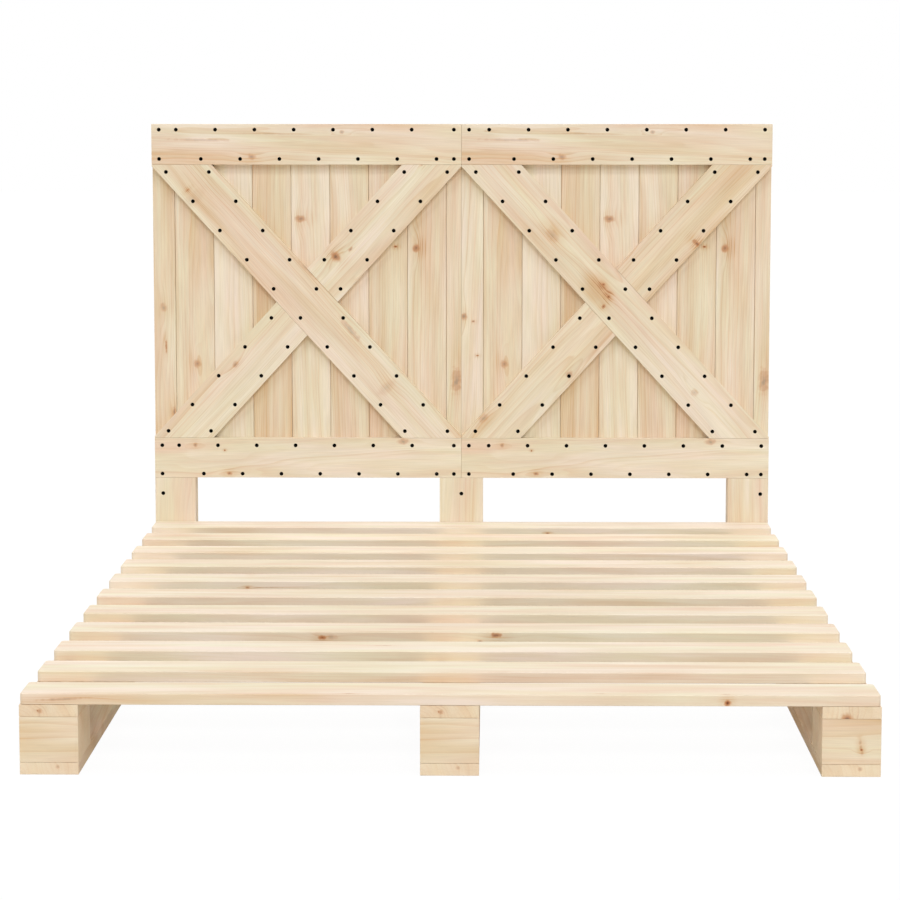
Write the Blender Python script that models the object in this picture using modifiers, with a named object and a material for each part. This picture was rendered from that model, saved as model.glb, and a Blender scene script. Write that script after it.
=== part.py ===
# Bed frame with headboard, in plain pine.
#
# Cross slats lie on three runners. A runner is a top board and a bottom board with blocks between them.
# The headboard is two equal panels side by side. Each has upright tongued planks, and on their front a top rail,
# a bottom rail and a cross of braces. It stands behind the head end on three legs, and a post runs up behind each.
#
# Metres, +Z up. The foot end faces -Y, and left and right are as seen from there.
# The origin is on the floor under the middle of the whole bed.

import math

import bmesh
import bpy
from mathutils import Matrix, Vector

# Between faces that touch
fit_gap = 0.0003

# Whole base
bed_width = 1.400
bed_length = 2.000

# Slats
slat_count = 11
slat_width = 0.100
slat_thickness = 0.018
slat_end_inset = 0.0015

# Runners
runner_width = 0.096
runner_board_thickness = 0.020
block_length = 0.145
block_height = 0.075

# Headboard panels
clearance_over_slats = 0.101
panel_height = 0.803
rail_height = 0.091
face_board_thickness = 0.018
brace_width = 0.102
brace_corner_trim = 0.0037

# Planks
plank_thickness = 0.018
first_plank_width = 0.0495
last_plank_width = 0.0345
whole_plank_count = 7
plank_bevel = 0.002
tongue_length = 0.006
tongue_thickness = 0.004

# Legs and posts
side_leg_width = 0.092
middle_leg_width = 0.099
post_thickness = 0.020

# Rounded arrises of every sawn board
edge_radius = 0.0015
edge_steps = 2

# Heights of the base, from the floor up
block_bottom = runner_board_thickness + fit_gap
top_board_bottom = block_bottom + block_height + fit_gap
slat_bottom = top_board_bottom + runner_board_thickness + fit_gap
slat_top = slat_bottom + slat_thickness

# Heights of the headboard
panel_bottom = slat_top + clearance_over_slats
panel_top = panel_bottom + panel_height

# Places along the bed, from the foot to the wall
leg_thickness = face_board_thickness + fit_gap + plank_thickness
whole_depth = bed_length + fit_gap + leg_thickness + fit_gap + post_thickness
foot_end = -whole_depth / 2
head_end = foot_end + bed_length
leg_front = head_end + fit_gap
post_front = leg_front + leg_thickness + fit_gap

# One panel, measured from its own middle
panel_width = (bed_width - fit_gap) / 2
half_panel = panel_width / 2
half_field = panel_height / 2 - rail_height

# Colours of the timber, as linear red, green and blue
slat_colour = (0.84, 0.70, 0.51)
runner_colour = (0.76, 0.61, 0.43)
headboard_colour = (0.79, 0.66, 0.47)
leg_colour = (0.77, 0.63, 0.44)
pine_roughness = 0.55


def add_collection(name):
    collection = bpy.data.collections.new(name)
    bpy.context.scene.collection.children.link(collection)
    return collection


def add_pine(name, colour):
    """Bare planed pine: pale, matt and not metallic."""
    material = bpy.data.materials.new(name)
    material.use_nodes = True
    shader = material.node_tree.nodes["Principled BSDF"]
    shader.inputs["Base Color"].default_value = (*colour, 1)
    shader.inputs["Roughness"].default_value = pine_roughness
    shader.inputs["Metallic"].default_value = 0
    material.diffuse_color = (*colour, 1)
    return material


def add_part(name, data, place, finish, parent=None):
    part = bpy.data.objects.new(name, data)
    part.location = place
    part.parent = parent
    data.materials.append(finish)
    bed.objects.link(part)
    return part


def ease_edges(part):
    """Rounds the arrises that a sawn board has after planing."""
    rounding = part.modifiers.new("eased edges", "BEVEL")
    rounding.width = edge_radius
    rounding.segments = edge_steps
    rounding.limit_method = "ANGLE"


def add_board(name, size, place, finish, parent=None):
    """A square-sawn board of that size, with its middle at place."""
    shape = bmesh.new()
    bmesh.ops.create_cube(shape, size=1, matrix=Matrix.Diagonal((*size, 1)))
    mesh = bpy.data.meshes.new(name)
    shape.to_mesh(mesh)
    shape.free()
    part = add_part(name, mesh, place, finish, parent)
    ease_edges(part)
    return part


def saw(shape, point, offcut):
    """Saws through at point and drops what lies beyond it, in the direction offcut."""
    whole = shape.verts[:] + shape.edges[:] + shape.faces[:]
    sawn = bmesh.ops.bisect_plane(shape, geom=whole, plane_co=point, plane_no=offcut, clear_outer=True)
    rim = [edge for edge in sawn["geom_cut"] if isinstance(edge, bmesh.types.BMEdge)]
    bmesh.ops.edgenet_fill(shape, edges=rim)


def add_brace(name, angle, cuts, finish, panel):
    """A face board that crosses the panel's middle at that angle, sawn to fit at each of the cuts."""
    length = 2 * math.hypot(half_panel, half_field) + brace_width
    place = Matrix.Rotation(angle, 4, "Y") @ Matrix.Diagonal((length, face_board_thickness, brace_width, 1))
    shape = bmesh.new()
    bmesh.ops.create_cube(shape, size=1, matrix=place)
    for point, offcut in cuts:
        saw(shape, point, offcut)
    bmesh.ops.recalc_face_normals(shape, faces=shape.faces[:])
    mesh = bpy.data.meshes.new(name)
    shape.to_mesh(mesh)
    shape.free()
    part = add_part(name, mesh, (0, face_board_thickness / 2, 0), finish, panel)
    ease_edges(part)


def plank_outline(left, right, grooved, tongued):
    """The plank's section seen from above: its face is at 0 and its back at the plank's thickness."""
    tongue_near = (plank_thickness - tongue_thickness) / 2
    tongue_far = tongue_near + tongue_thickness
    left_bevel = plank_bevel if grooved else 0
    right_bevel = plank_bevel if tongued else 0
    outline = [(left + left_bevel, 0), (right - right_bevel, 0)]
    if tongued:
        tip = right + tongue_length
        outline += [(right, plank_bevel), (right, tongue_near), (tip, tongue_near)]
        outline += [(tip, tongue_far), (right, tongue_far)]
    outline += [(right, plank_thickness), (left, plank_thickness)]
    if grooved:
        floor = left + tongue_length + fit_gap
        outline += [(left, tongue_far + fit_gap), (floor, tongue_far + fit_gap)]
        outline += [(floor, tongue_near - fit_gap), (left, tongue_near - fit_gap), (left, plank_bevel)]
    return outline


def add_plank(name, left, right, grooved, tongued, finish, panel):
    """An upright plank from left to right in its panel, with a groove down its left edge and a tongue on its right."""
    outline = plank_outline(left, right, grooved, tongued)
    section = bpy.data.curves.new(name, "CURVE")
    section.dimensions = "2D"
    section.fill_mode = "BOTH"
    section.extrude = panel_height / 2
    spline = section.splines.new("POLY")
    spline.points.add(len(outline) - 1)
    for point, (across, back) in zip(spline.points, outline):
        point.co = (across, back, 0, 1)
    spline.use_cyclic_u = True
    add_part(name, section, (0, face_board_thickness + fit_gap, 0), finish, panel)


def build_slats():
    finish = add_pine("slat_pine", slat_colour)
    pitch = (bed_length - slat_width) / (slat_count - 1)
    size = (bed_width - 2 * slat_end_inset, slat_width, slat_thickness)
    for number in range(slat_count):
        middle = foot_end + slat_width / 2 + pitch * number
        add_board(f"slat_{number + 1:02d}", size, (0, middle, slat_bottom + slat_thickness / 2), finish)


def build_runner(side, middle, board_finish, block_finish):
    """A bottom board, three blocks and a top board. The end blocks are flush with the boards' ends."""
    along = foot_end + bed_length / 2
    board_size = (runner_width, bed_length, runner_board_thickness)
    for level, bottom in (("bottom", 0), ("top", top_board_bottom)):
        place = (middle, along, bottom + runner_board_thickness / 2)
        add_board(f"runner_{side}_{level}_board", board_size, place, board_finish)
    block_size = (runner_width, block_length, block_height)
    end_step = (bed_length - block_length) / 2
    for name, step in (("foot", -end_step), ("middle", 0), ("head", end_step)):
        place = (middle, along + step, block_bottom + block_height / 2)
        add_board(f"runner_{side}_block_{name}", block_size, place, block_finish)


def build_runners():
    board_finish = add_pine("runner_board_pine", runner_colour)
    block_finish = add_pine("runner_block_pine", runner_colour)
    side_step = (bed_width - runner_width) / 2
    for side, middle in (("left", -side_step), ("middle", 0), ("right", side_step)):
        build_runner(side, middle, board_finish, block_finish)


def build_planks(side, panel, finish):
    """The first and last plank are sawn to the panel's sides, and the whole ones share the width between them."""
    cover = (panel_width - first_plank_width - last_plank_width) / whole_plank_count
    seams = [first_plank_width - half_panel + cover * step for step in range(whole_plank_count + 1)]
    edges = [-half_panel] + seams + [half_panel]
    last = len(edges) - 2
    for number in range(last + 1):
        grooved = number > 0
        tongued = number < last
        left = edges[number] + (fit_gap / 2 if grooved else 0)
        right = edges[number + 1] - (fit_gap / 2 if tongued else 0)
        add_plank(f"headboard_{side}_plank_{number + 1}", left, right, grooved, tongued, finish, panel)


def build_braces(side, panel, finish):
    """The long brace runs from the top left to the bottom right, and the short ones butt against its edges."""
    corner = (half_panel + brace_corner_trim, half_field)
    angle = math.atan2(corner[1], corner[0]) + math.asin(brace_width / 2 / math.hypot(*corner))
    across = Vector((math.sin(angle), 0, math.cos(angle)))
    field = [
        (Vector((0, 0, half_field - fit_gap)), Vector((0, 0, 1))),
        (Vector((0, 0, fit_gap - half_field)), Vector((0, 0, -1))),
        (Vector((half_panel, 0, 0)), Vector((1, 0, 0))),
        (Vector((-half_panel, 0, 0)), Vector((-1, 0, 0))),
    ]
    butt = across * (brace_width / 2 + fit_gap)
    add_brace(f"headboard_{side}_brace_long", angle, field, finish, panel)
    add_brace(f"headboard_{side}_brace_upper", -angle, field + [(butt, -across)], finish, panel)
    add_brace(f"headboard_{side}_brace_lower", -angle, field + [(-butt, across)], finish, panel)


def build_panel(side, middle, finishes):
    """Half of the headboard, around an empty at the middle of its front."""
    panel = bpy.data.objects.new(f"headboard_{side}_panel", None)
    panel.location = (middle, leg_front, (panel_bottom + panel_top) / 2)
    bed.objects.link(panel)
    build_planks(side, panel, finishes["plank"])
    rail_size = (panel_width, face_board_thickness, rail_height)
    rail_height_up = half_field + rail_height / 2
    for level, up in (("top", rail_height_up), ("bottom", -rail_height_up)):
        place = (0, face_board_thickness / 2, up)
        add_board(f"headboard_{side}_rail_{level}", rail_size, place, finishes["rail"], panel)
    build_braces(side, panel, finishes["brace"])


def build_panels():
    finishes = {kind: add_pine(f"headboard_{kind}_pine", headboard_colour) for kind in ("plank", "rail", "brace")}
    step = (panel_width + fit_gap) / 2
    for side, middle in (("left", -step), ("right", step)):
        build_panel(side, middle, finishes)


def build_legs():
    """The panels stand on the legs, and a post behind each leg runs up behind the planks."""
    leg_finish = add_pine("headboard_leg_pine", leg_colour)
    post_finish = add_pine("headboard_post_pine", leg_colour)
    leg_height = panel_bottom - fit_gap
    side_step = (bed_width - side_leg_width) / 2
    for side, width, middle in (
        ("left", side_leg_width, -side_step),
        ("middle", middle_leg_width, 0),
        ("right", side_leg_width, side_step),
    ):
        leg_place = (middle, leg_front + leg_thickness / 2, leg_height / 2)
        add_board(f"headboard_leg_{side}", (width, leg_thickness, leg_height), leg_place, leg_finish)
        post_place = (middle, post_front + post_thickness / 2, panel_top / 2)
        add_board(f"headboard_post_{side}", (width, post_thickness, panel_top), post_place, post_finish)


for old in list(bpy.data.objects):
    bpy.data.objects.remove(old)
bed = add_collection("bed_frame_with_headboard")
build_slats()
build_runners()
build_panels()
build_legs()
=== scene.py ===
import math
import random

import bpy
from mathutils import Euler, Matrix, Vector


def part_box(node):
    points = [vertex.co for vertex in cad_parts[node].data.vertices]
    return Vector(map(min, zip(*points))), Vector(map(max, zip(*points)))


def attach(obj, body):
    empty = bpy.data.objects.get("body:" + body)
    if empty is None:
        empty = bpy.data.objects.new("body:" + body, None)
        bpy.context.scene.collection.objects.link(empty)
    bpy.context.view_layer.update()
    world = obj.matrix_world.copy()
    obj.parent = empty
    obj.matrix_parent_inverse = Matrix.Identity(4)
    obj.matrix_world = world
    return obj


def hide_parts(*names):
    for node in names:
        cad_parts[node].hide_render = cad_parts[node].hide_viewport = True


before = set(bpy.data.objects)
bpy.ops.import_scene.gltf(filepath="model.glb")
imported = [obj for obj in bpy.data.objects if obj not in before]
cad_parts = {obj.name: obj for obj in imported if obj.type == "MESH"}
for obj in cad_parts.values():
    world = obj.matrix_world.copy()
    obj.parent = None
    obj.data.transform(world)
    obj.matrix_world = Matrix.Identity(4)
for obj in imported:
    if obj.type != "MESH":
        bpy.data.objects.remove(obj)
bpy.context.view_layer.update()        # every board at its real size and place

mm = 0.001
hair = 0.01 * mm         # what lies closer than this is in one place
noiseRange = (0.3, 0.7)  # most values of a noise lie between these
rightward = Vector((1, 0, 0))
away = Vector((0, 1, 0))
upward = Vector((0, 0, 1))
print("frame loaded:", len(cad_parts), "boards")


def linearColour(hexColour):
    linear = []
    for place in (1, 3, 5):
        part = int(hexColour[place:place + 2], 16) / 255
        linear.append(part / 12.92 if part <= 0.04045 else ((part + 0.055) / 1.055) ** 2.4)
    return tuple(linear) + (1,)


def colourStops(tones):
    return [(position, linearColour(tone)) for position, tone in tones]


def addNode(tree, kind, links=None, output=0, stops=None, **settings):
    node = tree.nodes.new("ShaderNode" + kind)
    for name, value in settings.items():
        setattr(node, name, value)
    for socket, value in (links or {}).items():
        if isinstance(value, bpy.types.NodeSocket):
            tree.links.new(value, node.inputs[socket])
        else:
            node.inputs[socket].default_value = value
    for number, (position, colour) in enumerate(stops or []):
        if number >= len(node.color_ramp.elements):
            node.color_ramp.elements.new(position)
        stop = node.color_ramp.elements[number]
        stop.position = position
        stop.color = colour if isinstance(colour, tuple) else (colour, colour, colour, 1)
    return node.outputs[output] if node.outputs else node


def newMaterial(name):
    material = bpy.data.materials.new(name)
    material.use_nodes = True
    material.node_tree.nodes.clear()
    return material, material.node_tree


# Camera: a long lens a little right of the middle, tilted down

cameraPlace = {
    "position": (0.0642, -5.779, 1.0903),
    "turn": 0.765,          # degrees to the left
    "tilt": 6.686,          # degrees down
    "lens": 119.2,
    "sensor": 36,
}


def addCamera():
    plan = cameraPlace
    bpy.ops.object.camera_add(location=plan["position"])
    camera = bpy.context.object
    camera.rotation_euler = (math.radians(90 - plan["tilt"]), 0, math.radians(plan["turn"]))
    camera.data.lens = plan["lens"]
    camera.data.sensor_width = plan["sensor"]
    camera.data.dof.use_dof = False
    bpy.context.scene.camera = camera


# Studio: a pale floor, soft lamps in front, overhead, at the sides and behind, and light from all round

studio = {
    "fill": 0.32,           # brightness of the surroundings
    "floor": "#E2DBD2",
    "floorShadow": 0.06,    # how much of the shadow on the floor shows
    "floorGlow": 0.95,
    "floorSize": 60,        # metres
    "floorDrop": 0.2,       # millimetres under the bottom boards
}

lamps = {                   # degrees above the floor, degrees to the right of the middle, degrees across
    "front lamp": {"rise": 32, "turn": 10, "width": 22, "strength": 0.7},
    "high right lamp": {"rise": 46, "turn": 30, "width": 9, "strength": 0.42},
    "high left lamp": {"rise": 46, "turn": -30, "width": 9, "strength": 0.42},
    "overhead lamp": {"rise": 90, "turn": 0, "width": 40, "strength": 1.1},
    "right lamp": {"rise": 14, "turn": 62, "width": 30, "strength": 0.28},
    "left lamp": {"rise": 14, "turn": -62, "width": 30, "strength": 0.28},
    "back lamp": {"rise": 16, "turn": 180, "width": 60, "strength": 0.8},
}


def addStudio():
    world = bpy.data.worlds.new("studio")
    bpy.context.scene.world = world
    world.use_nodes = True
    tree = world.node_tree
    tree.nodes.clear()
    path = addNode(tree, "LightPath").node.outputs
    seen = addNode(tree, "Math", {0: path["Is Camera Ray"], 1: path["Is Glossy Ray"]}, operation="MAXIMUM")
    seen = addNode(tree, "Math", {0: seen, 1: path["Is Transmission Ray"]}, operation="MAXIMUM")
    fill = addNode(tree, "Background", {"Color": (1, 1, 1, 1), "Strength": studio["fill"]})
    white = addNode(tree, "Background", {"Color": (1, 1, 1, 1), "Strength": 1})
    mixed = addNode(tree, "MixShader", {0: seen, 1: fill, 2: white})
    addNode(tree, "OutputWorld", {"Surface": mixed})

    for name, plan in lamps.items():
        bpy.ops.object.light_add(type="SUN", location=(0, -3, 4))   # only the turn of a sun lamp matters
        lamp = bpy.context.object
        lamp.name = name
        lamp.data.energy = plan["strength"]
        lamp.data.angle = math.radians(plan["width"])
        lamp.rotation_euler = (math.radians(90 - plan["rise"]), 0, math.radians(plan["turn"]))

    floorPlace = (0, 0, -studio["floorDrop"] * mm)
    bpy.ops.mesh.primitive_plane_add(size=studio["floorSize"], location=floorPlace)
    floor = bpy.context.object
    floor.name = "floor"
    material, tree = newMaterial("pale floor")
    path = addNode(tree, "LightPath").node.outputs
    shade = addNode(tree, "BsdfDiffuse", {"Color": linearColour(studio["floor"])})
    seenShade = addNode(tree, "BsdfDiffuse", {"Color": (studio["floorShadow"],) * 3 + (1,)})
    glow = addNode(tree, "Emission", {"Color": (1, 1, 1, 1), "Strength": studio["floorGlow"]})
    seenFloor = addNode(tree, "AddShader", {0: seenShade, 1: glow})
    surface = addNode(tree, "MixShader", {0: path["Is Camera Ray"], 1: shade, 2: seenFloor})
    addNode(tree, "OutputMaterial", {"Surface": surface})
    floor.data.materials.append(material)


addCamera()
addStudio()
bpy.context.scene.view_settings.view_transform = "Standard"
print("camera and studio ready")

# Bare pine, planed and left without oil: pale, matt and warm, with soft growth rings that darken
# towards a thin late edge. The pattern fills space as in a log around its pith, in millimetres.
# Depths go from 0, the palest tone, to 1, the deepest.

pine = {
    "pithTurn": 70,         # the pith lies up to this many degrees off the middle of the board's back
    "pithAway": (45, 120),  # and this far from the middle of the board
    "lean": 1.6,            # degrees between the board and its log
    "logLength": 9000,
    "ringWidth": 4.2,
    "ringSpread": 2.6,      # how unevenly wide the rings are
    "ringChange": 0.23,     # how soon that changes from ring to ring
    "bend": 24,             # how far the rings wander
    "bendWidth": 60,
    "bendLength": 520,
    "patchWidth": 42,       # soft patches of deeper and paler wood
    "patchLength": 300,
    "bandWidth": 11,
    "bandLength": 170,
    "flowRings": 3.5,       # rings that share a tone
    "flowLength": 420,
    "fibreWidth": 1.3,      # real fibres are far finer: this is as coarse as shows from a step away
    "fibreLength": 60,
    "lateRise": [(0, 0.0), (0.45, 0.12), (0.82, 0.85), (0.93, 1.0), (1, 0.0)],   # across one ring
    "lateLeast": 0.1,       # share of the late edge that the faintest ring keeps
    "depth": 0.3,           # tone of a board that says nothing else
    "depthSpread": 0.04,    # from board to board
    "patchDepth": 0.75,     # how much each of these deepens the tone
    "bandDepth": 0.36,
    "flowDepth": 0.6,
    "lateDepth": 0.24,
    "patchShade": 0.03,     # how much these change its brightness
    "fibreShade": 0.04,
    "tones": [(0, "#EEE2D0"), (0.18, "#E8DAC2"), (0.35, "#E4D0B6"), (0.52, "#DEC5A5"), (0.7, "#D9B791"),
              (1, "#BB865A")],      # palest sapwood to the deepest late wood beside a knot
    "green": (0.985, 1.015, 0.97),
    "rose": (1.012, 0.975, 1.0),
    "greenTo": 0.35,        # noise below this is all green
    "roseFrom": 0.65,
    "endGrain": "#EBD8BB",
    "endShare": 0.6,        # how much of that colour a sawn end takes
    "endFrom": 0.6,         # faces turned to the board's end by less than this, as a cosine, take none
    "endFull": 0.8,
    "roughness": 0.68,
    "lateSmooth": 0.12,     # the hard late wood is planed smoother
    "lateRelief": 0.6,      # how far the late edges stand up beside the fibres
    "relief": 0.12,         # height of both
    "reliefStrength": 0.35,
    "sheen": 0.25,          # bare wood hardly reflects
}

# Knots and stains, measured in their own radius unless a note says otherwise

knot = {
    "tones": [(0.1, "#74442A"), (0.4, "#B87C52"), (0.9, "#D2A277")],   # heart to rim
    "rimFrom": 0.5,         # the knot's colour fades out between these
    "rimTo": 1.15,
    "haloFrom": 0.6,        # and the darker wood around it between these
    "haloTo": 3.4,
    "haloDepth": 0.16,
    "haloRings": 2.5,       # how much stronger the late edges are there
    "ragged": 9,            # millimetres across the unevenness of the rim
    "raggedDepth": 1.4,
    "raggedRim": 5,         # millimetres that it reaches, in a large knot
    "raggedMost": 0.8,      # and its most, in a small one
    "bulge": 0.8,           # how far the rings rise along the branch
    "bulgeMost": 6,         # millimetres
    "bulgeReach": 3.25,     # how far from the branch, for each millimetre that they rise
    "bulgeLong": 0.35,      # less than 1 draws the bulge out along the grain
    "stainCore": 0.2,       # a stain is full up to here and fades to its edge
}


def logSpace(board):
    # Turns world metres to millimetres in the log, with the pith as its z axis
    draw = random.Random(board["seed"])
    turnIn = Matrix((board["across"], board["face"], board["along"]))
    pithTurn = math.radians(board.get("pithTurn", draw.uniform(-pine["pithTurn"], pine["pithTurn"])))
    pithAway = board.get("pithAway", draw.uniform(*pine["pithAway"]))
    pith = Vector((math.sin(pithTurn), -math.cos(pithTurn), 0)) * pithAway
    lean = (draw.uniform(-pine["lean"], pine["lean"]), draw.uniform(-pine["lean"], pine["lean"]))
    turn = Euler((math.radians(lean[0]), math.radians(lean[1]), 0)).to_matrix() @ turnIn
    upLog = Vector((0, 0, draw.uniform(-pine["logLength"], pine["logLength"])))
    return turn, turn @ (-board["middle"] / mm) - pith + upLog


def knotSpots(board):
    # Each knot: where its middle shows, from the board's origin, whether it runs lengthwise, and its looks
    along, across, face = board["along"], board["across"], board["face"]
    length, width, thickness = board["length"] / 2, board["width"] / 2, board["thickness"] / 2
    for forth, aside, *looks in board.get("knots", []):
        yield along * forth + across * aside + face * thickness, False, looks
    for forth, down, *looks in board.get("edgeKnots", []):
        yield along * forth - across * width + face * (thickness - down), False, looks
    for aside, up, *looks in board.get("endKnots", []):
        yield -along * length + across * aside + face * up, True, looks


def grainNoise(tree, spot, width, length, detail):
    # Soft variation drawn out along the log
    scale = (1 / width, 1 / width, 1 / length)
    flat = addNode(tree, "VectorMath", {0: spot, 1: scale}, operation="MULTIPLY")
    return addNode(tree, "TexNoise", {"Vector": flat, "Scale": 1, "Detail": detail}, output=1)


def addDistance(tree, offset, scale):
    # How far away, when each direction counts by its own scale
    scaled = addNode(tree, "VectorMath", {0: offset, 1: scale}, operation="MULTIPLY")
    return addNode(tree, "VectorMath", {0: scaled}, output=1, operation="LENGTH")


def addKnot(tree, spot, place, lengthwise, radius, stretch, rings):
    # A branch runs straight out from the pith, and the rings bulge out along it
    outwards = Vector((0, 0, 1)) if lengthwise else Vector((place.x, place.y, 0)).normalized()
    offset = addNode(tree, "VectorMath", {0: spot, 1: tuple(place)}, operation="SUBTRACT")
    outward = addNode(tree, "VectorMath", {0: offset, 1: tuple(outwards)}, operation="PROJECT")
    aside = addNode(tree, "VectorMath", {0: offset, 1: outward}, operation="SUBTRACT")
    near = addDistance(tree, aside, (1 / radius, 1 / radius, 1 / radius / stretch))
    wide = addDistance(tree, aside, (1, 1, knot["bulgeLong"] / stretch))
    height = min(knot["bulge"] * radius, knot["bulgeMost"])
    bulge = addNode(tree, "MapRange", {0: wide, 1: 0, 2: knot["bulgeReach"] * height, 3: height, 4: 0},
                    interpolation_type="SMOOTHERSTEP")
    return near, addNode(tree, "Math", {0: rings, 1: bulge}, operation="SUBTRACT")


def pineMaterial(name, board):
    material, tree = newMaterial(name)
    turn, shift = logSpace(board)
    spot = addNode(tree, "TexCoord", output=3)
    spot = addNode(tree, "Mapping", {"Vector": spot, "Location": tuple(shift), "Scale": (1 / mm,) * 3,
                                     "Rotation": tuple(turn.to_euler())})

    # The rings wander slowly along the log
    wander = grainNoise(tree, spot, pine["bendWidth"], pine["bendLength"], 2)
    wander = addNode(tree, "VectorMath", {0: wander, 1: (0.5, 0.5, 0.5)}, operation="SUBTRACT")
    bend = board.get("bend", pine["bend"])
    bent = addNode(tree, "VectorMath", {0: wander, 1: (bend, bend, 0), 2: spot}, operation="MULTIPLY_ADD")
    rings = addDistance(tree, bent, (1, 1, 0))

    # Knots: near is 0 in the heart of one and 1 at its rim
    ragged = addNode(tree, "TexNoise", {"Vector": spot, "Scale": 1 / knot["ragged"], "Detail": 2})
    ragged = addNode(tree, "Math", {0: ragged, 1: knot["raggedDepth"], 2: -knot["raggedDepth"] / 2},
                     operation="MULTIPLY_ADD")
    knotted = []
    for spread, lengthwise, (radius, stretch, strength) in knotSpots(board):
        place = turn @ (board["origin"] / mm + spread) + shift
        near, rings = addKnot(tree, spot, place, lengthwise, radius, stretch, rings)
        halo = addNode(tree, "MapRange", {0: near, 1: knot["haloFrom"], 2: knot["haloTo"], 3: strength, 4: 0},
                       interpolation_type="SMOOTHSTEP")
        reach = min(knot["raggedMost"], knot["raggedRim"] / radius)
        near = addNode(tree, "Math", {0: ragged, 1: reach, 2: near}, operation="MULTIPLY_ADD")
        mark = addNode(tree, "MapRange", {0: near, 1: knot["rimFrom"], 2: knot["rimTo"], 3: strength, 4: 0},
                       interpolation_type="SMOOTHSTEP")
        found = [halo, near, mark]
        if knotted:
            kinds = ("MAXIMUM", "MINIMUM", "MAXIMUM")
            found = [addNode(tree, "Math", {0: one, 1: two}, operation=kind)
                     for one, two, kind in zip(found, knotted, kinds)]
        knotted = found

    # One growth ring: pale early wood that deepens to a late edge
    ringWidth = board.get("ringWidth", pine["ringWidth"])
    count = addNode(tree, "Math", {0: rings, 1: ringWidth}, operation="DIVIDE")
    uneven = addNode(tree, "TexNoise", {"W": count, "Scale": pine["ringChange"], "Detail": 1},
                     noise_dimensions="1D")
    count = addNode(tree, "Math", {0: uneven, 1: pine["ringSpread"], 2: count}, operation="MULTIPLY_ADD")
    share = addNode(tree, "Math", {0: count}, operation="FRACT")
    number = addNode(tree, "Math", {0: count}, operation="FLOOR")
    late = addNode(tree, "ValToRGB", {0: share}, stops=pine["lateRise"])
    strong = addNode(tree, "TexWhiteNoise", {"W": number}, noise_dimensions="1D")
    strong = addNode(tree, "MapRange", {0: strong, 1: 0, 2: 1, 3: pine["lateLeast"], 4: 1})
    late = addNode(tree, "Math", {0: late, 1: strong}, operation="MULTIPLY")

    # A few rings together share a tone, which fades along the log
    height = addNode(tree, "SeparateXYZ", {0: spot}).node.outputs[2]
    flow = addNode(tree, "CombineXYZ", {0: count, 1: height})
    flow = addNode(tree, "VectorMath", {0: flow, 1: (1 / pine["flowRings"], 1 / pine["flowLength"], 0)},
                   operation="MULTIPLY")
    flow = addNode(tree, "TexNoise", {"Vector": flow, "Scale": 1, "Detail": 2}, noise_dimensions="2D")

    # Soft patches, narrow bands and short fibres
    patches = grainNoise(tree, bent, pine["patchWidth"], pine["patchLength"], 2)
    patches = addNode(tree, "SeparateColor", {0: patches}).node.outputs
    bands = grainNoise(tree, bent, pine["bandWidth"], pine["bandLength"], 3)
    bands = addNode(tree, "SeparateColor", {0: bands})
    fibre = grainNoise(tree, spot, pine["fibreWidth"], pine["fibreLength"], 2)
    fibre = addNode(tree, "SeparateColor", {0: fibre})

    # How deep the tone is. The rings close up and darken round a knot.
    grain = board.get("grain", 1)
    level = board["depth"] - (pine["patchDepth"] + pine["bandDepth"] + pine["flowDepth"]) / 2
    level -= pine["lateDepth"] / 5      # about a fifth of a ring is late wood
    layers = [(patches[0], pine["patchDepth"]), (bands, pine["bandDepth"]), (flow, pine["flowDepth"]),
              (late, pine["lateDepth"] * grain)]
    if knotted:
        dark = addNode(tree, "Math", {0: knotted[0], 1: late}, operation="MULTIPLY")
        layers += [(knotted[0], knot["haloDepth"]), (dark, knot["haloRings"] * pine["lateDepth"])]
    depth = level
    for layer, strength in layers:
        depth = addNode(tree, "Math", {0: layer, 1: strength, 2: depth}, operation="MULTIPLY_ADD")
    for along, aside, radius, stretch, strength in board.get("stains", []):
        middle = board["along"] * along + board["across"] * aside + board["face"] * board["thickness"] / 2
        place = turn @ (board["origin"] / mm + middle) + shift
        far = addNode(tree, "VectorMath", {0: spot, 1: tuple(place)}, operation="SUBTRACT")
        far = addDistance(tree, far, (1 / radius, 1 / radius, 1 / radius / stretch))
        stain = addNode(tree, "MapRange", {0: far, 1: knot["stainCore"], 2: 1, 3: strength, 4: 0},
                        interpolation_type="SMOOTHSTEP")
        depth = addNode(tree, "Math", {0: depth, 1: stain}, operation="ADD")
    wood = addNode(tree, "ValToRGB", {0: depth}, stops=colourStops(pine["tones"]))
    rosy = board.get("rosy", 0)
    tint = addNode(tree, "MapRange", {0: patches[1], 1: pine["greenTo"] - rosy, 2: pine["roseFrom"] - rosy,
                                      3: 0, 4: 1})
    tint = addNode(tree, "Mix", {0: tint, 4: pine["green"], 5: pine["rose"]}, output=1, data_type="VECTOR")
    wood = addNode(tree, "VectorMath", {0: wood, 1: tint}, operation="MULTIPLY")

    # The sawn ends drink in the light and look a shade deeper
    normal = addNode(tree, "NewGeometry", output=1)
    facing = addNode(tree, "VectorMath", {0: normal, 1: tuple(board["along"])}, output=1,
                     operation="DOT_PRODUCT")
    facing = addNode(tree, "Math", {0: facing}, operation="ABSOLUTE")
    ends = addNode(tree, "MapRange", {0: facing, 1: pine["endFrom"], 2: pine["endFull"], 3: 0,
                                      4: pine["endShare"]})
    endGrain = linearColour(pine["endGrain"])
    wood = addNode(tree, "Mix", {0: ends, 6: wood, 7: endGrain}, output=2, data_type="RGBA")

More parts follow.
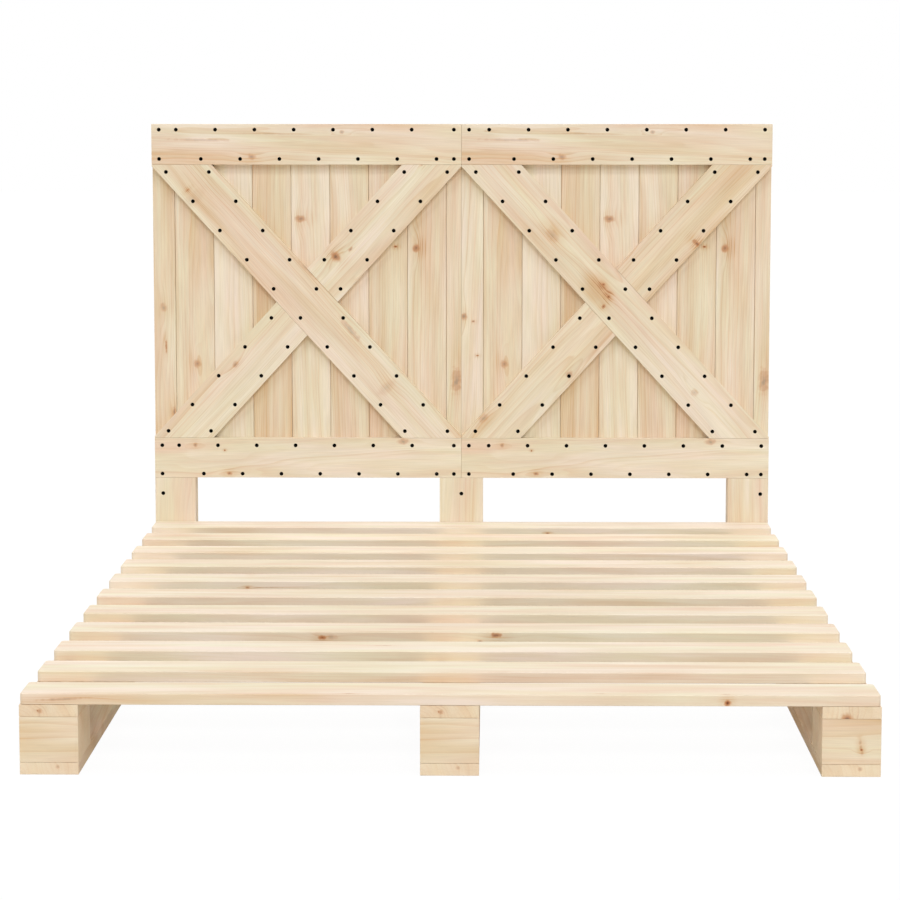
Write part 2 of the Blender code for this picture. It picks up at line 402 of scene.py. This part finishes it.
    # Its brightness swings a little both ways
    low, high = noiseRange
    swing = pine["patchShade"]
    value = addNode(tree, "MapRange", {0: patches[2], 1: low, 2: high, 3: 1 - swing, 4: 1 + swing})
    swing = pine["fibreShade"] * grain
    fine = addNode(tree, "MapRange", {0: fibre, 1: low, 2: high, 3: 1 - swing, 4: 1 + swing})
    value = addNode(tree, "Math", {0: value, 1: fine}, operation="MULTIPLY")
    wood = addNode(tree, "VectorMath", {0: wood, "Scale": value}, operation="SCALE")

    if knotted:
        heart = addNode(tree, "ValToRGB", {0: knotted[1]}, stops=colourStops(knot["tones"]))
        wood = addNode(tree, "Mix", {0: knotted[2], 6: wood, 7: heart}, output=2, data_type="RGBA")

    lateRough = pine["roughness"] - pine["lateSmooth"]
    rough = addNode(tree, "MapRange", {0: late, 1: 0, 2: 1, 3: pine["roughness"], 4: lateRough})
    relief = addNode(tree, "Math", {0: late, 1: pine["lateRelief"], 2: fibre}, operation="MULTIPLY_ADD")
    bump = addNode(tree, "Bump", {"Strength": pine["reliefStrength"], "Distance": pine["relief"] * mm,
                                  "Height": relief})
    shader = addNode(tree, "BsdfPrincipled", {"Base Color": wood, "Roughness": rough, "Normal": bump,
                                              "Metallic": 0, "Specular IOR Level": pine["sheen"]})
    addNode(tree, "OutputMaterial", {"Surface": shader})
    return material


# Hardened steel screws with a black phosphate coat: almost black, with a dull sheen and a fine grain

blackScrew = {
    "coat": "#050404",
    "worn": "#0D0B0A",
    "grain": 0.4,           # millimetres
    "grainHeight": 0.03,
    "grainStrength": 0.3,
    "roughness": 0.75,
    "roughSpread": 0.08,
    "sheen": 0.06,
}


def screwMaterial():
    material, tree = newMaterial("black phosphate screw")
    plan = blackScrew
    spot = addNode(tree, "TexCoord", output=3)
    grain = addNode(tree, "TexNoise", {"Vector": spot, "Scale": 1 / (plan["grain"] * mm), "Detail": 2})
    tones = {0: grain, 6: linearColour(plan["coat"]), 7: linearColour(plan["worn"])}
    coat = addNode(tree, "Mix", tones, output=2, data_type="RGBA")
    low, high = noiseRange
    rough = addNode(tree, "MapRange", {0: grain, 1: low, 2: high, 3: plan["roughness"] - plan["roughSpread"],
                                       4: plan["roughness"] + plan["roughSpread"]})
    bump = addNode(tree, "Bump", {"Strength": plan["grainStrength"], "Distance": plan["grainHeight"] * mm,
                                  "Height": grain})
    shader = addNode(tree, "BsdfPrincipled", {"Base Color": coat, "Roughness": rough, "Normal": bump,
                                              "Metallic": 0, "Specular IOR Level": plan["sheen"]})
    addNode(tree, "OutputMaterial", {"Surface": shader})
    return material


# What shows in one board and not in the others, in millimetres from the middle of the board, or of the cross
# for a brace. Each spot ends with its radius, its stretch along the grain and its strength, and starts with
#   knots: the place along the board and across its face
#   edgeKnots: the place along the board and down its edge
#   endKnots: the place across its near end and up it
#   stains: as knots, where a strength below 0 makes the wood paler

figures = {
    "plank_1_left": {
        "depth": 0.37, "pithTurn": 40,
        "knots": [(-14, 6, 8, 1.5, 0.4), (-103, 1, 2.5, 6, 0.85), (-254, -16, 3.5, 5, 0.6)],
    },
    "plank_1_right": {
        "depth": 0.16, "pithTurn": 50,
        "knots": [(-34, 22, 7, 1.4, 0.6), (-45, 1, 3, 1, 0.65), (-123, -9, 2.5, 1, 1)],
    },
    "plank_2": {"depth": 0.31, "pithTurn": -20, "pithAway": 110, "knots": [(-142, -1, 9, 1.3, 0.6)]},
    "plank_3": {"depth": 0.13, "pithTurn": 30},
    "plank_4": {"depth": 0.42, "pithTurn": 82},
    "plank_5": {"depth": 0.18, "pithTurn": -50, "knots": [(188, 26, 8, 1.2, 0.65)]},
    "plank_6": {"depth": 0.32, "pithTurn": 75, "stains": [(260, 0, 90, 2.5, -0.16)]},
    "plank_7": {"depth": 0.31, "pithTurn": -70, "knots": [(125, -14, 2.5, 1.3, 1)]},
    "plank_8": {"depth": 0.29, "pithTurn": 58, "knots": [(122, 27, 9, 1.3, 0.8)]},
    "plank_9": {"depth": 0.29, "pithTurn": 65, "knots": [(-180, -6, 7, 5, 0.5)]},
    "rail_top": {
        "depth": 0.32, "pithTurn": 20,
        "knots": [(-124, -28, 7, 1.6, 0.5), (80, 27, 5, 1.2, 0.4), (-240, 10, 3.5, 24, 0.26),
                  (-90, 24, 2.5, 34, 0.2)],
    },
    "rail_bottom": {
        "depth": 0.16, "pithTurn": -15,
        "knots": [(-257, 30, 5, 1.2, 0.55), (-190, 17, 2.2, 1, 0.9), (-180, -36, 5, 1.5, 0.75),
                  (218, 38, 7, 2.4, 0.5)],
    },
    "left_brace_long": {
        "depth": 0.36, "pithTurn": 72,
        "knots": [(-368, -28, 2.5, 1.4, 0.7), (-345, -34, 11, 1.8, 0.14), (265, 1, 12, 1.2, 0.2),
                  (-57, 51, 5, 8, 0.4), (114, 29, 5, 8, 0.35)],
        "stains": [(270, 0, 190, 1.9, -0.2)],
    },
    "left_brace_upper": {
        "depth": 0.19, "pithTurn": -20,
        "knots": [(120, 22, 12, 1, 0.8), (155, 8, 3, 2.5, 0.6), (405, 18, 4, 1.2, 0.5)],
    },
    "left_brace_lower": {"depth": 0.17, "pithTurn": 35, "knots": [(-216, 25, 6, 1.5, 0.45)]},
    "right_brace_long": {
        "depth": 0.28, "pithTurn": 42,
        "knots": [(-209, -4, 10, 2, 0.35), (-49, 6, 4, 1.2, 0.8), (-21, -4, 4, 1.4, 0.8),
                  (-12, -27, 4, 1.2, 0.8), (273, -6, 7, 1.4, 0.3)],
        "stains": [(-50, -10, 42, 1.5, 0.4), (-215, 6, 34, 1.4, 0.16), (270, 0, 190, 1.9, -0.2)],
    },
    "right_brace_upper": {"depth": 0.44, "pithTurn": 60, "knots": [(221, -44, 6, 1.2, 0.8)]},
    "right_brace_lower": {
        "depth": 0.29, "pithTurn": -30,
        "knots": [(-192, -34, 8, 1.3, 0.55), (-398, 42, 9, 1.6, 0.4)],
    },
    "headboard_leg_right": {"depth": 0.31},
    "slat_01": {
        "depth": 0.22, "pithTurn": -12, "pithAway": 80,
        "knots": [(-163, -42, 1.8, 6, 0.6), (245, -38, 1.6, 6, 0.5), (447, -40, 1.8, 5, 0.6)],
        "edgeKnots": [(450, 13.5, 3.4, 1.8, 1), (-630, 9, 0.8, 60, 0.4)],
        "stains": [(-480, -56, 34, 14, 0.26)],
    },
    "slat_02": {"depth": 0.24},
    "slat_03": {"knots": [(-124, 8, 2, 12, 0.5)]},
    "slat_04": {
        "pithTurn": -110, "pithAway": 90,
        "edgeKnots": [(-238, 10, 3.5, 2.6, 1), (-222, 9, 4.5, 3, 0.3), (77, 5, 5, 2.4, 0.85),
                      (47, 16, 1.5, 4, 0.6)],
    },
    "slat_07": {
        "pithTurn": -90, "pithAway": 90,
        "edgeKnots": [(-420, 12, 3, 1.8, 0.8), (-382, 12, 0.9, 38, 0.5)],
    },
    "slat_11": {"pithTurn": -90, "pithAway": 90, "edgeKnots": [(195, 12, 3, 1.8, 0.8)]},
    "runner_left_top_board": {
        "pithTurn": 84, "pithAway": 60, "ringWidth": 6,
        "endKnots": [(14, 0, 5.5, 1, 0.6), (17.5, 0, 1.8, 1, 0.9)],
    },
    "runner_right_top_board": {
        "pithTurn": 84, "pithAway": 60, "ringWidth": 6,
        "endKnots": [(8.5, -10, 11, 1, 0.8)],
    },
    "runner_left_bottom_board": {
        "pithTurn": 75, "pithAway": 70, "ringWidth": 6,
        "endKnots": [(-14, 3, 4, 1, 0.35)],
    },
    "runner_right_bottom_board": {
        "depth": 0.4, "pithTurn": 75, "pithAway": 70, "ringWidth": 6,
        "endKnots": [(-14, 3, 4, 1, 0.35)],
    },
    "runner_left_block_foot": {"pithTurn": 70, "pithAway": 90, "ringWidth": 8},
    "runner_right_block_foot": {
        "pithTurn": 60, "pithAway": 70, "ringWidth": 7,
        "knots": [(14, -1, 4.5, 0.7, 0.35), (15, -9, 4.5, 0.7, 0.45), (17, -18, 4.5, 0.7, 0.35),
                  (16, -13, 2.8, 1.1, 0.95)],
        "stains": [(15, -8, 20, 0.7, 0.15)],
    },
}


# Joinery, as done by hand

joinery = {"edgeSteps": 3, "cornerSteps": 5, "sharpFrom": 40}   # edges over so many degrees stay sharp


def selectOnly(*pieces):
    bpy.ops.object.select_all(action="DESELECT")
    for piece in pieces:
        piece.select_set(True)
    bpy.context.view_layer.objects.active = pieces[0]


def applyPlace():
    bpy.ops.object.transform_apply(location=True, rotation=True, scale=True)


def addBlock(name, middle, size, turn=0):
    bpy.ops.object.select_all(action="DESELECT")
    bpy.ops.mesh.primitive_cube_add(size=1, location=middle, rotation=(0, turn, 0))
    block = bpy.context.object
    block.name = name
    block.scale = size
    applyPlace()
    return block


def clearPicked(kind):
    bpy.ops.object.mode_set(mode="EDIT")
    bpy.ops.mesh.select_mode(type=kind)
    bpy.ops.mesh.select_all(action="DESELECT")
    bpy.ops.object.mode_set(mode="OBJECT")


def pickEdges(piece, chosen):
    # Chosen looks at an edge's two ends. The piece is left in edit mode.
    clearPicked("EDGE")
    points = piece.data.vertices
    for edge in piece.data.edges:
        edge.select = chosen(points[edge.vertices[0]].co, points[edge.vertices[1]].co)
    bpy.ops.object.mode_set(mode="EDIT")


def pickFaces(piece, chosen):
    clearPicked("FACE")
    for face in piece.data.polygons:
        face.select = chosen(face)
    bpy.ops.object.mode_set(mode="EDIT")


def bevelPicked(width, steps):
    # Ends edit mode
    bpy.ops.mesh.bevel(offset=width, segments=steps, affect="EDGES")
    bpy.ops.object.mode_set(mode="OBJECT")


def easeEdges(radius):
    bpy.ops.object.mode_set(mode="EDIT")
    bpy.ops.mesh.select_all(action="SELECT")
    bevelPicked(radius, joinery["edgeSteps"])


def roundCorners(piece, corner, radius):
    # The corners seen from above, then the edges round the top and the bottom
    pickEdges(piece, lambda one, two: one.xy == two.xy)
    bevelPicked(corner, joinery["cornerSteps"])
    pickEdges(piece, lambda one, two: one.z == two.z)
    bevelPicked(radius, joinery["edgeSteps"])


def extrudeFaces(piece, chosen, move):
    pickFaces(piece, chosen)
    bpy.ops.mesh.extrude_region_move(TRANSFORM_OT_translate={"value": move})
    bpy.ops.object.mode_set(mode="OBJECT")


def sawOff(point, offcut):
    bpy.ops.object.mode_set(mode="EDIT")
    bpy.ops.mesh.select_all(action="SELECT")
    bpy.ops.mesh.bisect(plane_co=point, plane_no=offcut, use_fill=True, clear_outer=True)
    bpy.ops.object.mode_set(mode="OBJECT")


def moveMesh(piece, shift):
    selectOnly(piece)
    piece.location = shift
    bpy.ops.object.transform_apply(location=True, rotation=False, scale=False)


def copyPiece(piece, name, shift):
    selectOnly(piece)
    bpy.ops.object.duplicate(linked=False)
    twin = bpy.context.object
    twin.name = name
    moveMesh(twin, shift)
    return twin


def joinPieces(pieces, name):
    selectOnly(*pieces)
    bpy.ops.object.join()
    whole = bpy.context.object
    whole.name = name
    whole.data.name = name
    return whole


def cutOut(piece, cutter):
    selectOnly(piece)
    cut = piece.modifiers.new("cut", "BOOLEAN")
    cut.object = cutter
    cut.operation = "DIFFERENCE"
    cut.solver = "EXACT"
    bpy.ops.object.modifier_apply(modifier=cut.name)
    bpy.data.objects.remove(cutter)


def drillHoles(piece, name, places):
    cutOut(piece, joinPieces([copyPiece(drill, "drill", place) for place in places], "drills"))
    screws = joinPieces([copyPiece(screw, "screw", place) for place in places], name)
    screws.data.materials.append(screwCoat)
    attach(screws, "root")


def finishBoard(piece, node, board):
    low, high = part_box(node)
    size = high - low
    board["middle"] = (low + high) / 2
    board.setdefault("origin", board["middle"])
    board["across"] = board["face"].cross(board["along"])
    board["length"] = abs(size.dot(board["along"])) / mm
    board["width"] = abs(size.dot(board["across"])) / mm
    board["thickness"] = abs(size.dot(board["face"])) / mm
    spread = random.Random(board["seed"]).uniform(-1, 1) * pine["depthSpread"]
    board["depth"] = board.get("depth", pine["depth"]) + spread
    board.update(figures.get(board["seed"], {}))
    piece.name = "pine_" + node
    piece.data.name = piece.name
    selectOnly(piece)
    bpy.ops.object.shade_smooth_by_angle(angle=math.radians(joinery["sharpFrom"]))
    piece.modifiers.new("even shading", "WEIGHTED_NORMAL").keep_sharp = True
    bpy.ops.object.modifier_apply(modifier="even shading")
    piece.data.materials.append(pineMaterial("planed pine, " + node, board))
    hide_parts(node)
    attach(piece, "root")


# Screws: a countersunk head with a cross, a short length of shank, and the drill that makes room for it

screwSize = {
    "head": 8.8,
    "neck": 3.6,
    "headDepth": 2.8,
    "shank": 8,
    "cross": 4.4,
    "crossWidth": 1.1,
    "crossDepth": 1.6,
    "sides": 16,
    "holeEase": 0.15,
    "sunk": 0.15,
    "sharpFrom": 30,        # degrees
}


def addHeadAndShank(name, ease, sunk):
    # Upright, with the board's surface at height 0
    size = screwSize
    bpy.ops.object.select_all(action="DESELECT")
    bpy.ops.mesh.primitive_cone_add(
        vertices=size["sides"],
        radius1=(size["neck"] + 2 * ease) * mm / 2,
        radius2=(size["head"] + 2 * ease) * mm / 2,
        depth=size["headDepth"] * mm,
        location=(0, 0, (-sunk - size["headDepth"] / 2) * mm),
    )
    model = bpy.context.object
    model.name = name
    applyPlace()
    extrudeFaces(model, lambda face: face.normal.z < -0.9, (0, 0, -size["shank"] * mm))
    return model


def turnToFront(piece):
    selectOnly(piece)
    piece.rotation_euler = (math.radians(90), 0, 0)
    applyPlace()


def addScrew():
    size = screwSize
    model = addHeadAndShank("screw", 0, size["sunk"])
    slotSize = Vector((size["cross"], size["crossWidth"], 2 * size["crossDepth"])) * mm
    for turn in (0, 90):
        slot = addBlock("slot", (0, 0, -size["sunk"] * mm), slotSize)
        slot.rotation_euler = (0, 0, math.radians(turn))
        cutOut(model, slot)
    turnToFront(model)
    bpy.ops.object.shade_smooth_by_angle(angle=math.radians(size["sharpFrom"]))
    return model


def addDrill():
    # It reaches 1 mm out of the board, for a clean cut
    model = addHeadAndShank("drill", screwSize["holeEase"], 0)
    extrudeFaces(model, lambda face: face.normal.z > 0.9, (0, 0, mm))
    turnToFront(model)
    return model


screw = addScrew()
drill = addDrill()
screwCoat = screwMaterial()
print("screw modelled:", len(screw.data.polygons), "faces")

# Slats and runners. The runners' boards lie along the bed and their blocks across it.

base = {
    "slat": {
        "start": "slat_", "slot": "slat_pine", "along": rightward, "face": upward,
        "corner": 7, "ease": 1.4, "depth": 0.19, "grain": 0.6, "rosy": 0.03,
    },
    "topBoard": {
        "start": "runner_", "end": "_top_board", "slot": "runner_board_pine", "along": away,
        "face": upward, "ease": 0.8, "depth": 0.42,
    },
    "bottomBoard": {
        "start": "runner_", "end": "_bottom_board", "slot": "runner_board_pine", "along": away,
        "face": upward, "ease": 0.8,
    },
    "block": {
        "start": "runner_", "part": "_block_", "slot": "runner_block_pine", "along": rightward,
        "face": -away, "ease": 0.8, "depth": 0.45,
    },
}


def addAlike(nodes, board):
    # Boards of one size: the first is planed from a block and the others are copies of it
    first = None
    for node in nodes:
        low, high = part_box(node)
        middle = (low + high) / 2
        if first is None:
            piece = addBlock("board", middle, high - low)
            if "corner" in board:
                roundCorners(piece, board["corner"] * mm, board["ease"] * mm)
            else:
                easeEdges(board["ease"] * mm)
            first = piece.copy()
            first.data = piece.data.copy()
            firstMiddle = middle
            bpy.context.scene.collection.objects.link(first)
        else:
            piece = copyPiece(first, "board", middle - firstMiddle)
        yield node, piece
    bpy.data.objects.remove(first)


def nodesLike(start, part, end):
    return sorted(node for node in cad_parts
                  if node.startswith(start) and part in node and node.endswith(end))


for kind, board in base.items():
    nodes = nodesLike(board["start"], board.get("part", ""), board.get("end", ""))
    for node, piece in addAlike(nodes, board):
        # The middle runner shows the same figure as the left one
        finishBoard(piece, node, dict(board, seed=node.replace("_middle_", "_left_")))
    print(kind, "done:", len(nodes))

# Legs and posts

uprights = {
    "leg": {"slot": "headboard_leg_pine", "along": upward, "face": -away, "ease": 0.6, "depth": 0.24},
    "post": {"slot": "headboard_post_pine", "along": upward, "face": away, "ease": 1},
}
legScrews = {"down": 36, "fromEdge": 18}    # one near the top of each leg

panelBox = {}
for side in ("left", "right"):
    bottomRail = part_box("headboard_" + side + "_rail_bottom")
    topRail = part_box("headboard_" + side + "_rail_top")
    panelBox[side] = (bottomRail[0], topRail[1])
panelFront = panelBox["left"][0].y


def legScrewPlace(node):
    low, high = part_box(node)
    aside = {
        "left": low.x + legScrews["fromEdge"] * mm,
        "middle": (low.x + high.x) / 2,
        "right": high.x - legScrews["fromEdge"] * mm,
    }
    return aside[node.split("_")[-1]], low.y, high.z - legScrews["down"] * mm


for kind, board in uprights.items():
    for group in (("left", "right"), ("middle",)):
        nodes = ["headboard_" + kind + "_" + side for side in group]
        for node, piece in addAlike(nodes, board):
            if kind == "leg":
                drillHoles(piece, "screw_" + node, [legScrewPlace(node)])
            finishBoard(piece, node, dict(board, seed=node))
print("legs and posts done")

# Headboard planks: upright, with a groove down the left edge, a tongue on the right and a small bevel at
# each seam

plank = {"slot": "headboard_plank_pine", "along": upward, "face": -away, "grain": 1.3}
plankEdge = {"tongueLength": 6, "tongueThickness": 4, "bevel": 2, "bevelSteps": 2, "gap": 0.3}
plankCount = 9


def splitMesh(point, normal):
    bpy.ops.object.mode_set(mode="EDIT")
    bpy.ops.mesh.select_mode(type="FACE")
    bpy.ops.mesh.select_all(action="SELECT")
    bpy.ops.mesh.bisect(plane_co=point, plane_no=normal)
    bpy.ops.object.mode_set(mode="OBJECT")


def pullUp(height):
    # Makes a closed board of a flat section
    bpy.ops.object.mode_set(mode="EDIT")
    bpy.ops.mesh.select_mode(type="FACE")
    bpy.ops.mesh.select_all(action="SELECT")
    bpy.ops.mesh.extrude_region_move(TRANSFORM_OT_translate={"value": (0, 0, height)})
    bpy.ops.mesh.select_all(action="SELECT")
    bpy.ops.mesh.dissolve_limited(angle_limit=math.radians(1))
    bpy.ops.mesh.select_all(action="SELECT")
    bpy.ops.mesh.normals_make_consistent(inside=False)
    bpy.ops.object.mode_set(mode="OBJECT")


def addPlank(node, number):
    # The section is drawn flat, then pulled up to the plank's height
    low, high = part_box(node)
    edge = plankEdge
    grooved = number > 1
    tongued = number < plankCount
    rightEdge = high.x - edge["tongueLength"] * mm * tongued
    near = (low.y + high.y - edge["tongueThickness"] * mm) / 2
    far = near + edge["tongueThickness"] * mm
    gap = edge["gap"] * mm
    grooveFloor = low.x + edge["tongueLength"] * mm + gap
    bpy.ops.object.select_all(action="DESELECT")
    bpy.ops.mesh.primitive_plane_add(size=1, location=((low.x + rightEdge) / 2, (low.y + high.y) / 2, low.z))
    piece = bpy.context.object
    piece.scale = (rightEdge - low.x, high.y - low.y, 1)
    applyPlace()
    if grooved:
        for depth in (near - gap, far + gap):
            splitMesh((0, depth, 0), away)
        splitMesh((grooveFloor, 0, 0), rightward)
        pickFaces(piece, lambda face: face.center.x < grooveFloor and near < face.center.y < far)
        bpy.ops.mesh.delete(type="FACE")
        bpy.ops.object.mode_set(mode="OBJECT")
    if tongued:
        for depth in (near, far):
            splitMesh((0, depth, 0), away)
        pickEdges(piece, lambda one, two: min(one.x, two.x) > rightEdge - hair
                  and near - gap / 2 < min(one.y, two.y) and max(one.y, two.y) < far + gap / 2)
        bpy.ops.mesh.extrude_edges_move(TRANSFORM_OT_translate={"value": (edge["tongueLength"] * mm, 0, 0)})
        bpy.ops.object.mode_set(mode="OBJECT")
    pullUp(high.z - low.z)
    seams = [low.x] * grooved + [rightEdge] * tongued
    pickEdges(piece, lambda one, two: abs(one.z - two.z) > hair and max(one.y, two.y) < low.y + hair
              and any(abs(one.x - seam) < hair for seam in seams))
    bevelPicked(edge["bevel"] * mm, edge["bevelSteps"])
    return piece


def addPlanks():
    whole = None
    for side in ("left", "right"):
        for number in range(1, plankCount + 1):
            node = "headboard_" + side + "_plank_" + str(number)
            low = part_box(node)[0]
            if whole is None or number in (1, plankCount):
                piece = addPlank(node, number)
                if number == 2:
                    whole = copyPiece(piece, "whole plank", (0, 0, 0))
                    wholeLow = low.copy()
            else:
                piece = copyPiece(whole, "plank", low - wholeLow)
            seed = "plank_" + str(number) + ("_" + side if number == 1 else "")
            finishBoard(piece, node, dict(plank, seed=seed))
    bpy.data.objects.remove(whole)


addPlanks()
print("planks done")

# Rails: one along the top and one along the bottom of each panel, screwed through to the planks

rail = {"slot": "headboard_rail_pine", "along": rightward, "face": -away, "ease": 0.6, "grain": 1.2,
        "bend": 36}
railScrews = {
    "fromEnd": 17,
    "rows": {"top": (12.5, 12.7), "bottom": (17.0, 8.8)},       # below the upper edge, above the lower edge
    "first": {"left": (55.5, 111.5), "right": (62.1, 118.2)},   # upper row, lower row
    "pitch": 88.7,
    "count": 7,
}


def railScrewPlaces(side, level, low, high):
    down, rise = railScrews["rows"][level]
    places = []
    for height, first in zip((high.z - down * mm, low.z + rise * mm), railScrews["first"][side]):
        across = [low.x + railScrews["fromEnd"] * mm, high.x - railScrews["fromEnd"] * mm]
        across += [low.x + (first + railScrews["pitch"] * step) * mm for step in range(railScrews["count"])]
        places += [(aside, low.y, height) for aside in across]
    return places


nodes = ["headboard_" + side + "_rail_" + level for side in ("left", "right") for level in ("top", "bottom")]
for node, piece in addAlike(nodes, rail):
    side, level = node.split("_")[1], node.split("_")[3]
    drillHoles(piece, "screws_" + side + "_rail_" + level, railScrewPlaces(side, level, *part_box(node)))
    finishBoard(piece, node, dict(rail, seed="rail_" + level))
print("rails done")

# Braces: a long one from the top left to the bottom right, and two short ones that butt against its edges

brace = {"slot": "headboard_brace_pine", "face": -away, "ease": 0.6, "grain": 1.3}
braceCut = {"width": 102, "cornerTrim": 3.7, "gap": 0.3}
braceScrews = {"first": 16.6, "last": 16.1, "pitch": 66, "rows": 10, "aside": 48.5}


def bracePlan(side):
    # Where the cross lies: its middle, the half size of the open field, and the slope of the long brace
    low, high = panelBox[side]
    railLow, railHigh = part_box("headboard_" + side + "_rail_top")
    halfWide = (high.x - low.x) / 2
    halfHigh = (high.z - low.z) / 2 - (railHigh.z - railLow.z)
    corner = (halfWide + braceCut["cornerTrim"] * mm, halfHigh)
    slope = math.atan2(corner[1], corner[0]) + math.asin(braceCut["width"] * mm / 2 / math.hypot(*corner))
    middle = Vector(((low.x + high.x) / 2, (railLow.y + railHigh.y) / 2, (low.z + high.z) / 2))
    return middle, halfWide, halfHigh, slope


def addBrace(side, kind):
    middle, halfWide, halfHigh, slope = bracePlan(side)
    gap = braceCut["gap"] * mm
    wide = braceCut["width"] * mm
    front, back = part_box("headboard_" + side + "_rail_top")
    size = Vector((2 * math.hypot(halfWide, halfHigh) + wide, back.y - front.y, wide))
    across = Vector((math.sin(slope), 0, math.cos(slope)))
    piece = addBlock("brace", middle, size, slope if kind == "long" else -slope)
    sawOff(middle + upward * (halfHigh - gap), upward)
    sawOff(middle - upward * (halfHigh - gap), -upward)
    sawOff(middle + rightward * halfWide, rightward)
    sawOff(middle - rightward * halfWide, -rightward)
    if kind == "upper":
        sawOff(middle + across * (wide / 2 + gap), -across)
    if kind == "lower":
        sawOff(middle - across * (wide / 2 + gap), across)
    easeEdges(brace["ease"] * mm)
    return piece


def braceScrewPlaces(side, kind):
    # Level rows of two, one screw near each edge. A short brace keeps those clear of the long one.
    middle, halfWide, halfHigh, slope = bracePlan(side)
    top = middle.z + halfHigh
    heights = []
    for row in range(braceScrews["rows"] - 1):
        heights.append(top - (braceScrews["first"] + braceScrews["pitch"] * row) * mm)
    heights.append(middle.z - halfHigh + braceScrews["last"] * mm)
    rise = math.tan(slope) if kind != "long" else -math.tan(slope)
    reach = braceCut["width"] * mm / 2 + braceCut["gap"] * mm + screwSize["head"] * mm / 2
    across = Vector((math.sin(slope), 0, math.cos(slope)))
    places = []
    for height in heights:
        for step in (-1, 1):
            place = middle + rightward * ((height - middle.z) / rise + step * braceScrews["aside"] * mm)
            place.z = height
            beyond = (place - middle).dot(across)
            if kind == "long" or (beyond > reach if kind == "upper" else beyond < -reach):
                places.append((place.x, panelFront, place.z))
    return places


for kind in ("long", "upper", "lower"):
    pieces = {"left": addBrace("left", kind)}
    pieces["right"] = copyPiece(pieces["left"], "brace", bracePlan("right")[0] - bracePlan("left")[0])
    slope = bracePlan("left")[3]
    along = Vector((math.cos(slope), 0, -math.sin(slope) if kind == "long" else math.sin(slope)))
    for side, piece in pieces.items():
        node = "headboard_" + side + "_brace_" + kind
        places = braceScrewPlaces(side, kind)
        drillHoles(piece, "screws_" + side + "_brace_" + kind, places)
        plan = dict(brace, seed=side + "_brace_" + kind, along=along, origin=bracePlan(side)[0])
        finishBoard(piece, node, plan)
        print("brace", side, kind, "with", len(places), "screws")

bpy.data.objects.remove(screw)
bpy.data.objects.remove(drill)
